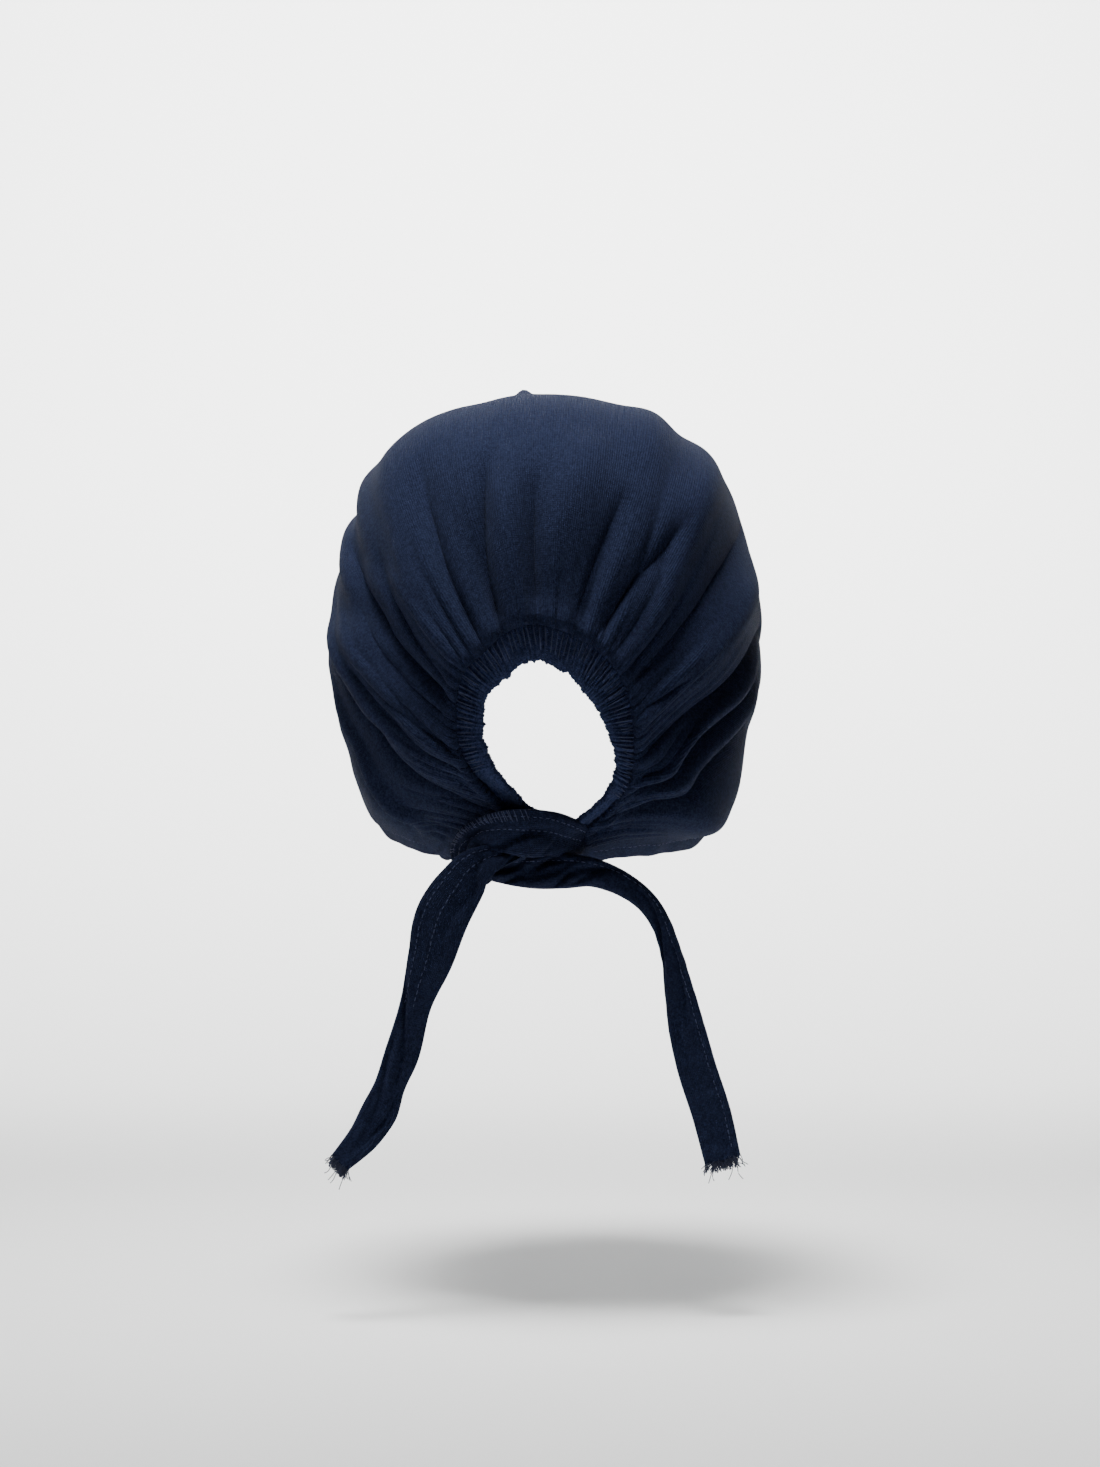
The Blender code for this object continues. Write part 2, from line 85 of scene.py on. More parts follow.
# degrees from the top towards the wearer's left, millimetres that the outline draws in
drawIn = (
    (-180, 2.0), (-168, 3.6), (-156, 4.2), (-147, 3.8), (-138, 0.0), (-132, 3.8), (-126, 5.6),
    (-120, 5.6), (-114, 4.2), (-108, 1.8), (-102, 0.6), (-90, 0.8), (-78, 1.8), (-72, 3.2), (-60, 2.9),
    (-48, 1.2), (-42, 2.4), (-30, 3.1), (-24, 3.8), (-14, 3.0), (-6, 2.4), (0, 2.1), (8, 2.0),
    (15, 2.6), (22, 1.6), (30, 0.7), (40, 1.2), (48, 3.6), (54, 5.4), (60, 5.9), (66, 5.6),
    (72, 3.8), (84, 4.0), (90, 2.2), (96, 2.0), (102, 3.2), (114, 3.4), (120, 4.0),
    (126, 2.6), (138, 0.9), (150, 3.0), (165, 3.0), (180, 2.0),
)
drawReach = (0.45, 0.90)  # shares of the form's size between which it sets in
# the small nub at the top, where the cloth stands out instead
nub = {"at": (0.0079, 0.004, 0.0915), "size": (0.0022, 0.009, 0.004), "height": 0.0026}

# place at the inner edge and far end, start and end of the way out, half width, height
folds = (
    (0.030, 0.150, 0.15, 0.66, 0.016, -0.8), (0.045, 0.195, 0.12, 0.62, 0.018, 1.0),
    (0.167, 0.250, 0.03, 0.62, 0.015, -1.3), (0.225, 0.275, 0.05, 0.60, 0.018, 0.8),
    (0.285, 0.292, 0.00, 0.45, 0.015, 0.7), (0.318, 0.326, 0.00, 0.32, 0.011, -0.8),
    (0.346, 0.347, 0.00, 0.44, 0.012, -1.4), (0.335, 0.342, 0.32, 0.72, 0.014, 0.9),
    (0.366, 0.382, 0.00, 0.28, 0.011, -0.7), (0.380, 0.381, 0.24, 0.74, 0.013, 0.8),
    (0.402, 0.412, 0.00, 0.46, 0.014, 0.8), (0.428, 0.438, 0.00, 0.32, 0.009, -1.2),
    (0.456, 0.478, 0.00, 0.25, 0.008, -1.5), (0.478, 0.490, 0.00, 0.26, 0.012, 0.8),
    (0.500, 0.504, 0.00, 0.20, 0.008, -1.1), (0.515, 0.534, 0.04, 0.30, 0.013, 0.7),
    (0.541, 0.556, 0.00, 0.21, 0.009, -1.2), (0.562, 0.570, 0.26, 0.66, 0.014, 0.8),
    (0.573, 0.602, 0.00, 0.25, 0.009, -1.3), (0.604, 0.608, 0.05, 0.72, 0.014, 0.8),
    (0.640, 0.664, 0.00, 0.50, 0.014, -1.2), (0.686, 0.700, 0.00, 0.52, 0.018, 0.8),
    (0.737, 0.780, 0.00, 0.62, 0.015, -1.6), (0.780, 0.792, 0.00, 0.55, 0.016, 0.8),
    (0.823, 0.806, 0.00, 0.78, 0.013, -1.9), (0.852, 0.836, 0.05, 0.60, 0.016, 0.8),
    (0.890, 0.857, 0.04, 0.86, 0.014, -1.9), (0.920, 0.930, 0.15, 0.98, 0.045, 1.5),
)


def smoothStep(t):
    t = np.clip(t, 0, 1)
    return t * t * (3 - 2 * t)


# the curve between two values that leaves and arrives with the given slopes
def hermite(t, start, leave, end, arrive):
    return (
        (2 * t**3 - 3 * t**2 + 1) * start + (t**3 - 2 * t**2 + t) * leave
        + (3 * t**2 - 2 * t**3) * end + (t**3 - t**2) * arrive
    )


def readTable(rows, at):
    rows = np.array(rows, float)
    place, value = rows[:, 0], rows[:, 1:]
    slope = np.gradient(value, place, axis=0)
    at = np.clip(np.atleast_1d(np.asarray(at, float)), place[0], place[-1])
    i = np.clip(np.searchsorted(place, at, side="right") - 1, 0, len(place) - 2)
    step = (place[i + 1] - place[i])[:, None]
    t = (at - place[i])[:, None] / step
    return hermite(t, value[i], step * slope[i], value[i + 1], step * slope[i + 1])


def unit(vectors):
    return vectors / np.linalg.norm(vectors, axis=-1)[..., None]


def distances(points):
    steps = np.linalg.norm(np.diff(points, axis=0), axis=1)
    return np.concatenate([[0.0], np.cumsum(steps)])


def along(points):
    length = distances(points)
    return length / length[-1]


def between(at, places, rows):
    return np.stack([np.interp(at, places, column) for column in rows.T], axis=-1)


def atShare(points, share):
    return between(share, along(points), points)


def halfAxes(points):
    return np.stack([
        np.full(points.shape[:-1], form["halfWidth"]),
        np.where(points[..., 1] > 0, form["back"], form["front"]),
        np.where(points[..., 2] > 0, form["above"], form["below"]),
    ], axis=-1)


def ontoForm(points):
    size = (np.abs(points) / halfAxes(points)) ** form["power"]
    return points / size.sum(-1)[..., None] ** (1 / form["power"])


def formNormal(points):
    axes = halfAxes(points)
    return unit(np.sign(points) * (np.abs(points) / axes) ** (form["power"] - 1) / axes)


def seenFromBehind(x, z):
    axes = halfAxes(np.stack([x, np.ones_like(x), z], axis=-1))
    n = form["power"]
    left = 1 - (np.abs(x) / axes[..., 0]) ** n - (np.abs(z) / axes[..., 2]) ** n
    return np.stack([x, form["back"] * np.maximum(left, 0.0) ** (1 / n), z], axis=-1)


def atBearing(bearing, height):
    z = height * np.where(height > 0, form["above"], form["below"])
    flat = np.stack([np.sin(bearing), np.cos(bearing), z * 0], axis=-1)
    size = ((np.abs(flat) / halfAxes(flat)) ** form["power"]).sum(-1)
    reach = ((1 - np.abs(height) ** form["power"]) / size) ** (1 / form["power"])
    return flat * reach[..., None] + np.stack([z * 0, z * 0, z], axis=-1)


# draws points near the outline towards the middle, and leaves the middle alone
def drawnIn(points):
    x, z = points[..., 0], points[..., 2]
    size = ((np.abs(points[..., [0, 2]]) / halfAxes(points)[..., [0, 2]]) ** form["power"]).sum(-1)
    share = size ** (1 / form["power"])
    near = smoothStep((share - drawReach[0]) / (drawReach[1] - drawReach[0]))
    by = readTable(drawIn, np.degrees(np.arctan2(x, z)).ravel())[:, 0].reshape(x.shape) / 1000
    by -= nub["height"] * np.exp(-(((points - nub["at"]) / nub["size"]) ** 2).sum(-1))
    keep = 1 - near * by / np.maximum(np.hypot(x, z), 0.01)
    return np.stack([x * keep, points[..., 1], z * keep], axis=-1)


def inFrame(points):
    forward = np.clip(-points[..., 1] / form["front"], 0, 1)
    x = points[..., 0] * (1 - form["browTaper"] * forward**2)
    return np.stack([x, points[..., 1], points[..., 2] - centreDrop], axis=-1)


def openingEdge(clock, outward):
    reach, width = readTable(openingOutline, clock).T
    radius = reach * nape["radius"] + outward * width * nape["casingWidth"]
    clock = np.radians(clock)
    x = right * (nape["toRight"] + radius * np.sin(clock))
    return seenFromBehind(x, radius * np.cos(clock) - nape["drop"])


def rootEdge(rows, casingEnd):
    left, up = np.array(rows).T * tie["strand"]
    corners = seenFromBehind(tie["toLeft"] + left, up - tie["drop"])
    return atShare(np.vstack([corners, casingEnd]), np.linspace(0, 1, 20)[:-1])


def innerEdge():
    border = openingEdge(np.linspace(openingOutline[1][0], openingOutline[-2][0], 160), 1.0)
    left = rootEdge(leftRoot, border[0])
    rightSide = rootEdge(rightRoot, border[-1])[::-1]
    return ontoForm(np.concatenate([left, border, rightSide]))


def faceLine():
    bearing, height = readTable(faceEdge, np.linspace(0, 1, 80)).T
    left = atBearing(np.radians(bearing), height)
    return np.concatenate([left, (left[::-1] * [-1, 1, 1])[1:]])


def smoothed(rows, reach):
    kernel = np.hanning(2 * reach + 3)
    kernel /= kernel.sum()
    padded = np.pad(rows, ((reach + 1, reach + 1), (0, 0)), mode="edge")
    return np.stack([np.convolve(column, kernel, "valid") for column in padded.T], axis=-1)


def grainLines(columns, rows):
    inner, outer = innerEdge(), faceLine()
    place = np.linspace(0, 1, columns + 1)
    innerShare, outerShare, leaving = readTable(grain, place).T
    start = unit(atShare(inner, innerShare))
    endPoints = atShare(outer, outerShare)
    end = unit(endPoints)
    leaving = np.radians(leaving)
    leave = np.stack([right * np.sin(leaving), 0 * leaving, np.cos(leaving)], axis=-1)
    leave = unit(leave - (leave * start).sum(-1)[:, None] * start)
    edge = unit(smoothed(np.gradient(endPoints, axis=0), columns // 10))
    over = unit(np.cross(edge, formNormal(endPoints)))
    over *= np.sign((over * [0, -1, -0.5]).sum(-1))[:, None]
    side = np.where(place < 0.5, 1.0, -1.0)[:, None]
    turn = smoothStep(np.minimum(place, 1 - place) / 0.22)[:, None] * math.pi / 2
    arrive = unit(side * edge * np.cos(turn) + over * np.sin(turn))
    angle = np.arccos(np.clip((start * end).sum(-1)[:, None], -1, 1))
    pull = 4 * np.tan(angle / 4)
    t = (np.linspace(0, 1, rows + 1) ** 1.15)[None, :, None]  # closer rows at the gathers
    lines = hermite(t, start[:, None], (pull * leave)[:, None], end[:, None], (pull * arrive)[:, None])
    return place, t[0, :, 0], ontoForm(lines)


# where the two ties cross
knotMiddle = seenFromBehind(np.array([tie["toLeft"]]), np.array([-tie["drop"]]))[0]


def addPiece(name, points, faces, material, uv=None, replaced=()):
    mesh = bpy.data.meshes.new(name)
    mesh.from_pydata(np.asarray(points).tolist(), [], faces)
    mesh.materials.append(material)
    if uv is not None:
        layer = mesh.uv_layers.new(name="cloth")
        corner = np.zeros(len(mesh.loops), dtype=np.int64)
        mesh.loops.foreach_get("vertex_index", corner)
        layer.data.foreach_set("uv", np.asarray(uv, np.float32)[corner].ravel())
    mesh.shade_smooth()
    piece = bpy.data.objects.new(name, mesh)
    bpy.context.scene.collection.objects.link(piece)
    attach(piece, "root")
    if replaced:
        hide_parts(*replaced)
    return piece


def gridFaces(count, around, closed):
    i, j = np.meshgrid(np.arange(count - 1), np.arange(around if closed else around - 1), indexing="ij")
    a, b = i * around + j, i * around + (j + 1) % around
    return np.stack([a, b, b + around, a + around], -1).reshape(-1, 4)


def applyModifiers(piece):
    bpy.ops.object.select_all(action="DESELECT")
    piece.select_set(True)
    bpy.context.view_layer.objects.active = piece
    for modifier in list(piece.modifiers):
        bpy.ops.object.modifier_apply(modifier=modifier.name)
    piece.select_set(False)


def addNode(tree, kind, inputs=(), **settings):
    node = tree.nodes.new("ShaderNode" + kind)
    for key, value in settings.items():
        setattr(node, key, value)
    for key, value in dict(inputs).items():
        node.inputs[key].default_value = value
    return node


def newMaterial(name):
    made = bpy.data.materials.new(name)
    made.use_nodes = True
    return made, made.node_tree, made.node_tree.nodes["Principled BSDF"]


# jersey: fine wales along the grain, slightly mottled, with a soft sheen
def jerseyMaterial(name, look):
    made, tree, shader = newMaterial(name)
    link = tree.links.new
    uv = addNode(tree, "UVMap", uv_map="cloth").outputs["UV"]
    place = addNode(tree, "TexCoord").outputs["Object"]

    wales = addNode(tree, "TexWave", {
        "Scale": 0.314 / look["wale"],  # one band per wale
        "Distortion": 1.2, "Detail": 2.0, "Detail Scale": 1.5,
    }, wave_type="BANDS", bands_direction="X")
    link(uv, wales.inputs["Vector"])
    courses = addNode(tree, "TexWave", {
        "Scale": 0.314 / look["course"], "Distortion": 1.6,
    }, wave_type="BANDS", bands_direction="Y")
    link(uv, courses.inputs["Vector"])
    mottle = addNode(tree, "TexNoise", {
        "Scale": look["mottleScale"], "Detail": 6.0, "Roughness": 0.62,
    })
    link(place, mottle.inputs["Vector"])
    fuzz = addNode(tree, "TexNoise", {"Scale": look["fuzzScale"], "Detail": 3.0})
    link(place, fuzz.inputs["Vector"])

    # colour: the heather of dark and light fibres, then the wales over it
    ramp = addNode(tree, "ValToRGB")
    for stop, at, color in zip(ramp.color_ramp.elements, (0.30, 0.72), (look["dark"], look["light"])):
        stop.position = at
        stop.color = (*color, 1)
    half = addNode(tree, "Math", {1: look["speckle"] / 2}, operation="SUBTRACT")
    link(mottle.outputs["Fac"], half.inputs[0])
    speckle = addNode(tree, "Math", {1: look["speckle"]}, operation="MULTIPLY_ADD")
    link(fuzz.outputs["Fac"], speckle.inputs[0])
    link(half.outputs[0], speckle.inputs[2])
    link(speckle.outputs[0], ramp.inputs["Fac"])
    knit = addNode(tree, "Mix", data_type="RGBA", blend_type="MULTIPLY")
    knit.inputs["Factor"].default_value = look["waleShade"]
    link(ramp.outputs["Color"], knit.inputs["A"])
    link(wales.outputs["Color"], knit.inputs["B"])
    link(knit.outputs["Result"], shader.inputs["Base Color"])

    rough = addNode(tree, "MapRange", {"To Min": 0.78, "To Max": 0.96})
    link(fuzz.outputs["Fac"], rough.inputs["Value"])
    link(rough.outputs["Result"], shader.inputs["Roughness"])

    # relief: wales, courses and fuzz together
    stitch = addNode(tree, "Math", {1: 0.35}, operation="MULTIPLY_ADD")
    link(courses.outputs["Fac"], stitch.inputs[0])
    link(wales.outputs["Fac"], stitch.inputs[2])
    height = addNode(tree, "Math", {1: 0.8}, operation="MULTIPLY_ADD")
    link(fuzz.outputs["Fac"], height.inputs[0])
    link(stitch.outputs[0], height.inputs[2])
    bump = addNode(tree, "Bump", {"Strength": look["bump"], "Distance": look["bumpHeight"]})
    link(height.outputs[0], bump.inputs["Height"])
    link(bump.outputs["Normal"], shader.inputs["Normal"])

    shader.inputs["Metallic"].default_value = 0.0
    shader.inputs["Specular IOR Level"].default_value = 0.06
    shader.inputs["Sheen Weight"].default_value = look["sheen"]
    shader.inputs["Sheen Roughness"].default_value = 0.45
    shader.inputs["Sheen Tint"].default_value = (0.55, 0.65, 1.0, 1)
    return made


jerseyLook = {
    "wale": 0.0006, "course": 0.0008, "mottleScale": 750.0, "fuzzScale": 1700.0,
    "waleShade": 0.16, "bump": 0.5, "bumpHeight": 0.0004, "speckle": 1.3, "sheen": 0.02,
    "dark": (0.0062, 0.0096, 0.0272), "light": (0.0158, 0.0224, 0.0545),
}
jersey = jerseyMaterial("jerseyCrown", jerseyLook)
# the casing's jersey: the crown's cloth painted lighter, painted light on the gathered ribs
gatheredPaintedLight = jerseyMaterial("jerseyGatheredPaintedLight", {
    **jerseyLook, "dark": (0.0120, 0.0182, 0.0500), "light": (0.0300, 0.0415, 0.0990),
})
hemmed = jerseyMaterial("jerseyHem", jerseyLook)
# the ties' jersey: the crown's cloth painted darker, painted shade
tiePaintedShade = jerseyMaterial("jerseyTiePaintedShade", {
    **jerseyLook, "dark": (0.0050, 0.0077, 0.0222), "light": (0.0122, 0.0176, 0.0435),
})

threadLook = {"color": (0.030, 0.040, 0.090), "roughness": 0.7}


def threadMaterial(name, look):
    made, tree, shader = newMaterial(name)
    link = tree.links.new
    noise = addNode(tree, "TexNoise", {"Scale": 900.0})
    link(addNode(tree, "TexCoord").outputs["Object"], noise.inputs["Vector"])
    ramp = addNode(tree, "ValToRGB")
    for stop, share in zip(ramp.color_ramp.elements, (0.6, 1.3)):
        stop.color = (*[share * v for v in look["color"]], 1)
    link(noise.outputs["Fac"], ramp.inputs["Fac"])
    link(ramp.outputs["Color"], shader.inputs["Base Color"])
    bump = addNode(tree, "Bump", {"Strength": 0.4, "Distance": 0.0001})
    link(noise.outputs["Fac"], bump.inputs["Height"])
    link(bump.outputs["Normal"], shader.inputs["Normal"])
    shader.inputs["Roughness"].default_value = look["roughness"]
    shader.inputs["Specular IOR Level"].default_value = 0.3
    return made


thread = threadMaterial("sewingThread", threadLook)
frayThread = threadMaterial("frayThread", {**threadLook, "color": (0.013, 0.018, 0.042)})
print("materials made")

crown = {
    "columns": 720, "rows": 58, "wall": 0.0014, "cut": (0.46, 0.28), "cutArea": 0.098,
    "foldHeight": 0.0042, "ridgePower": 2.0, "valleyPower": 1.15, "swell": 0.0004,
    "gathers": 104, "gatherHeight": 0.0015, "gatherReach": (0.03, 0.12),
    "gatherSpan": (0.085, 0.875), "gatherWidth": 0.45, "gatherShift": 0.32,
    "creases": 150, "creaseHeight": 0.0019, "creaseReach": (0.12, 0.38),
    "creaseWidth": (0.0035, 0.0080), "creaseLean": 0.012, "creaseWaver": 0.0015,
    "seamWidth": 0.03, "seamRise": 0.0012, "seamTurn": 0.0024, "seamPress": 0.6,
    "rootReach": 0.0165, "rootRise": 0.0045,
    "leftRootEnd": (0.125, 0.050), "rightRootEnd": (0.950, 0.025),  # place, and how softly
}
# share of the reach that each turned-in row takes, and how far it drops
turnedRows = ((1.0, 0.0038), (0.5, 0.0036), (0.12, 0.0022))


def crownHeight(place, out):
    u, v = place[:, None], out[None, :]
    height = np.zeros((len(place), len(out)))
    for near, far, start, end, width, share in folds:
        span = np.clip((v - start) / (end - start), 0, 1)
        middle = near + (far - near) * (0.75 * span + 0.25 * smoothStep(span))
        sharp = crown["ridgePower"] if share > 0 else crown["valleyPower"]
        shape = np.exp(-(np.abs((u - middle) / width) ** sharp))
        rise = 0.15 if start == 0 else 0.0  # a fold from the casing starts part of the way up
        rising = np.sin(math.pi * (rise + (1 - rise) * span)) ** 0.8
        height += share * crown["foldHeight"] * shape * rising
    for k in range(crown["creases"]):
        near = rng.uniform(0.02, 0.98)
        far = near + rng.normal(0, crown["creaseLean"])
        end = rng.uniform(*crown["creaseReach"])
        width = rng.uniform(*crown["creaseWidth"])
        share = rng.choice([-1.0, 0.8]) * rng.uniform(0.4, 1.0)
        waver = crown["creaseWaver"] * np.sin(v * rng.uniform(10, 24))
        middle = near + (far - near) * v / end + waver
        fade = np.clip(1 - v / end, 0, 1) ** 0.9 * smoothStep((v + 0.01) / 0.03)
        height += share * crown["creaseHeight"] * np.exp(-((u - middle) / width) ** 2) * fade
    atSeam = 1 - smoothStep(v / crown["seamWidth"])
    height = height * (1 - crown["seamPress"] * atSeam) + crown["seamRise"] * atSeam
    firstGather, gatherSpan = crown["gatherSpan"]
    shift = crown["gatherShift"]
    for k in range(crown["gathers"]):
        middle = firstGather + gatherSpan * (k + 0.5 + rng.uniform(-shift, shift)) / crown["gathers"]
        reach = rng.uniform(*crown["gatherReach"])
        share = rng.uniform(0.5, 1.1)
        width = crown["gatherWidth"] * gatherSpan / crown["gathers"] * rng.uniform(0.75, 1.2)
        bend = middle + rng.normal(0, 0.02) * v
        shape = np.exp(-((u - bend) / width) ** 2)
        height += share * crown["gatherHeight"] * shape * np.exp(-v / reach)
    height += crown["swell"] * np.sin(u * 41 + 3 * v) * np.sin(v * 9 + 1) * np.sin(math.pi * v)
    return height


place, out, grid = grainLines(crown["columns"], crown["rows"])
normal = formNormal(grid)
cloth = grid + normal * crownHeight(place, out)[..., None]
# past the inner edge the cloth turns in under the casing, and at both roots it runs on
# under the knot
inwardOf = unit(grid[:, 0] - grid[:, 1])
(leftEnd, leftSoft), (rightEnd, rightSoft) = crown["leftRootEnd"], crown["rightRootEnd"]
atRoot = np.maximum(smoothStep((leftEnd - place) / leftSoft), smoothStep((place - rightEnd) / rightSoft))
inwardOf = unit(inwardOf * (1 - atRoot)[:, None] + unit(knotMiddle - grid[:, 0]) * atRoot[:, None])
edgeHeight = crownHeight(place, out[:1])[:, 0]
turned = []
for reach, drop in turnedRows:
    inwardBy = reach * (crown["seamTurn"] + (crown["rootReach"] - crown["seamTurn"]) * atRoot)
    underCasing = edgeHeight * reach * 0.2 - drop
    underKnot = edgeHeight + crown["rootRise"] * reach
    heightHere = (1 - atRoot) * underCasing + atRoot * underKnot
    turned.append(grid[:, 0] + inwardOf * inwardBy[:, None] + normal[:, 0] * heightHere[:, None])
cloth = drawnIn(cloth)
clothAll = np.concatenate([drawnIn(np.stack(turned, axis=1)), cloth], axis=1)
columns, rows = clothAll.shape[:2]
outAll = np.concatenate([[-0.03, -0.016, -0.005], out])
uv = np.stack(np.broadcast_arrays(place[:, None] * crown["cut"][0], outAll[None] * crown["cut"][1]), -1)
faces = gridFaces(columns, rows, False)
crownPiece = addPiece(
    "crown_cloth", inFrame(clothAll).reshape(-1, 3), faces.tolist(), jersey,
    uv.reshape(-1, 2), ["crown"],
)
wall = crownPiece.modifiers.new("Wall", "SOLIDIFY")
wall.thickness = crown["wall"]
wall.offset = -1
applyModifiers(crownPiece)
print("crown:", len(crownPiece.data.polygons), "faces")


# a strap's section goes from -1 to +1 across in c, and s is above 0 on its outer side
def strapSection(piece):
    angle = np.linspace(0, 2 * math.pi, piece["points"], endpoint=False) + math.pi / piece["points"]
    c, s = np.cos(angle), np.sin(angle)
    power = 2 / piece["power"]
    return np.sign(c) * np.abs(c) ** power, np.sign(s) * np.abs(s) ** power


# relief moves the two sides apart, and drape moves them together
def strapRings(piece, centres, across, outward, width, thickness, relief, drape=0.0):
    c, s = strapSection(piece)
    thick = thickness[:, None] / 2 * s[None] + relief * np.sign(s)[None] + drape
    wide = width[:, None] / 2 * c[None]
    return centres[:, None] + across[:, None] * wide[..., None] + outward[:, None] * thick[..., None]


def grooves(c, lines):
    return -seam["groove"] * sum(np.exp(-((c - at) / seam["grooveWidth"]) ** 2) for at in lines)[None]


def strapPiece(name, rings, material, replaced):
    count, around = rings.shape[:2]
    length = distances(rings.mean(1))
    girth = np.linalg.norm(np.roll(rings, -1, axis=1) - rings, axis=2).mean(0)
    girthPlace = np.concatenate([[0], np.cumsum(girth)[:-1]])
    uv = np.stack(np.broadcast_arrays(girthPlace[None], length[:, None]), -1).reshape(-1, 2)
    faces = gridFaces(count, around, True).tolist()
    faces.append(list(reversed(range(around))))
    faces.append(list(range((count - 1) * around, count * around)))
    return addPiece(name, inFrame(rings).reshape(-1, 3), faces, material, uv, replaced)


casing = {
    "ribs": 122, "perRib": 8, "points": 36, "power": 3.6, "thickness": 0.0036,
    "ribDepth": 0.0011, "ribPower": 0.75, "ribSizes": (0.45, 1.3), "smoothTo": -0.8,
    "ribsFrom": -128, "fromSoft": 28, "ribsTo": 138, "toSoft": 18,
    "ragged": 0.0006, "overlap": 0.0004, "endTilt": 0.30, "threadRadius": 0.00018,
    # rows: size, waves over the whole length in radians, shift
    "wander": ((0.6, 37, 0), (0.6, 91, 1), (0.4, 213, 0)),
    "lean": ((0.9, 23, 1), (0.7, 57, 0), (0.5, 131, 2)),
}
# place across, how far it wanders, depth in millimetres, half width
casingEndFolds = ((0.45, 0.25, 1.1, 0.20), (-0.25, 0.20, 0.8, 0.16))
ribStations = casing["ribs"] * casing["perRib"] + 1
clock = np.linspace(openingOutline[0][0], openingOutline[-1][0], ribStations)
t = np.linspace(0, 1, ribStations)
wander, lean = (
    sum(size * np.sin(t * speed + shift) for size, speed, shift in casing[key])
    for key in ("wander", "lean")
)
ribPhase = math.pi * casing["ribs"] * t + wander
ribNumbers = np.arange(casing["ribs"] + 1)
ribSize = np.interp(t * casing["ribs"], ribNumbers, rng.uniform(*casing["ribSizes"], len(ribNumbers)))
ragged = np.interp(t * casing["ribs"], ribNumbers, rng.normal(0, 1, len(ribNumbers)))
ribbed = smoothStep((clock - casing["ribsFrom"]) / casing["fromSoft"])
ribbed *= smoothStep((casing["ribsTo"] - clock) / casing["toSoft"])
casingIn, casingOut = openingEdge(clock, 0.0), openingEdge(clock, 1.0)
inward = unit(casingIn - casingOut)
ribWave = np.abs(np.cos(ribPhase)) ** casing["ribPower"]
inset = casing["ragged"] * (0.6 * ragged + 0.9 * ribWave * ribSize - 0.6)
casingIn = casingIn + inward * inset[:, None]
casingOut = casingOut - inward * casing["overlap"]
casingFace = formNormal((casingIn + casingOut) / 2)
middle = (casingIn + casingOut) / 2 - casingFace * form["wall"] / 2
casingC, casingS = strapSection(casing)
c = casingC[None]
ribSpread = smoothStep((c - casing["smoothTo"]) / 0.45)  # the rolled inner edge is smooth
# the ribs lean this way and that across the band
ribs = np.abs(np.cos(ribPhase[:, None] + lean[:, None] * c)) ** casing["ribPower"] * ribSize[:, None]
relief = casing["ribDepth"] * ribbed[:, None] * (ribs - 0.55) * (0.18 + 0.82 * ribSpread)
# past the last ribs the band lies in long folds
for at, bend, deep, wide in casingEndFolds:
    fold = np.exp(-np.abs((c - at - bend * np.sin(t * 40)[:, None]) / wide) ** 1.3)
    relief = relief - deep / 1000 * (1 - ribbed)[:, None] * fold
tilted = unit(-inward - casingFace * (casing["endTilt"] * (1 - ribbed))[:, None])
casingFace = np.cross(tilted, np.cross(casingFace, tilted))
casingRings = strapRings(
    casing, middle, tilted, casingFace, np.linalg.norm(casingOut - casingIn, axis=1),
    np.full(ribStations, casing["thickness"]), relief,
)
# the casing takes the lighter copy of the jersey, with painted light in its colour
casingPiece = strapPiece("casing_gathers", casingRings, gatheredPaintedLight, ["elastic_casing"])
print("casing:", len(casingPiece.data.polygons), "faces")

hem = {
    "width": 0.0100, "thickness": 0.0030, "sections": 620, "points": 26, "power": 4.0,
    "lines": (-0.55, -0.80), "overlap": 0.0010, "ripple": 0.0003, "endWidth": 0.3, "endLength": 0.03,
    "under": 2,  # rows of the crown's turned-in cloth that the hem follows under the knot
}
under = hem["under"]
edge = np.concatenate([clothAll[0, 3 - under:-1], clothAll[:, -1], clothAll[-1, -2:2 - under:-1]])
toward = np.concatenate([clothAll[4, 3 - under:-1], clothAll[:, -3], clothAll[-5, -2:2 - under:-1]])
edgeFace = np.concatenate([
    normal[0, [0] * under], normal[0, :-1], normal[:, -1], normal[-1, -2::-1], normal[-1, [0] * under],
])
share = np.linspace(0, 1, hem["sections"])
edgePlace = along(edge)
line, edgeFace, inside = (between(share, edgePlace, rows) for rows in (edge, edgeFace, toward))
forward = unit(np.gradient(line, axis=0))
across = unit(np.cross(forward, edgeFace))
across *= np.sign(((line - inside) * across).sum(-1))[:, None]
hemMiddle = line + across * (hem["width"] / 2 - hem["overlap"]) - edgeFace * form["wall"] / 2
ripple = hem["ripple"] * np.sin(share * 190) * np.sin(share * 53)
narrowing = smoothStep(np.minimum(share, 1 - share) / hem["endLength"])
taper = hem["endWidth"] + (1 - hem["endWidth"]) * narrowing
hemMiddle = hemMiddle - across * (hem["width"] / 2 * (1 - taper))[:, None]
hemC, hemS = strapSection(hem)
hemRings = strapRings(
    hem, hemMiddle + edgeFace * ripple[:, None], across, edgeFace, hem["width"] * taper,
    np.full(len(share), hem["thickness"]), grooves(hemC, hem["lines"]),
)
flipped = np.dot(np.cross(across[0], edgeFace[0]), forward[0]) > 0
hemPiece = strapPiece(
    "hem_band", hemRings[:, ::-1] if flipped else hemRings, hemmed, ["hem"])
print("hem:", len(hemPiece.data.polygons), "faces")

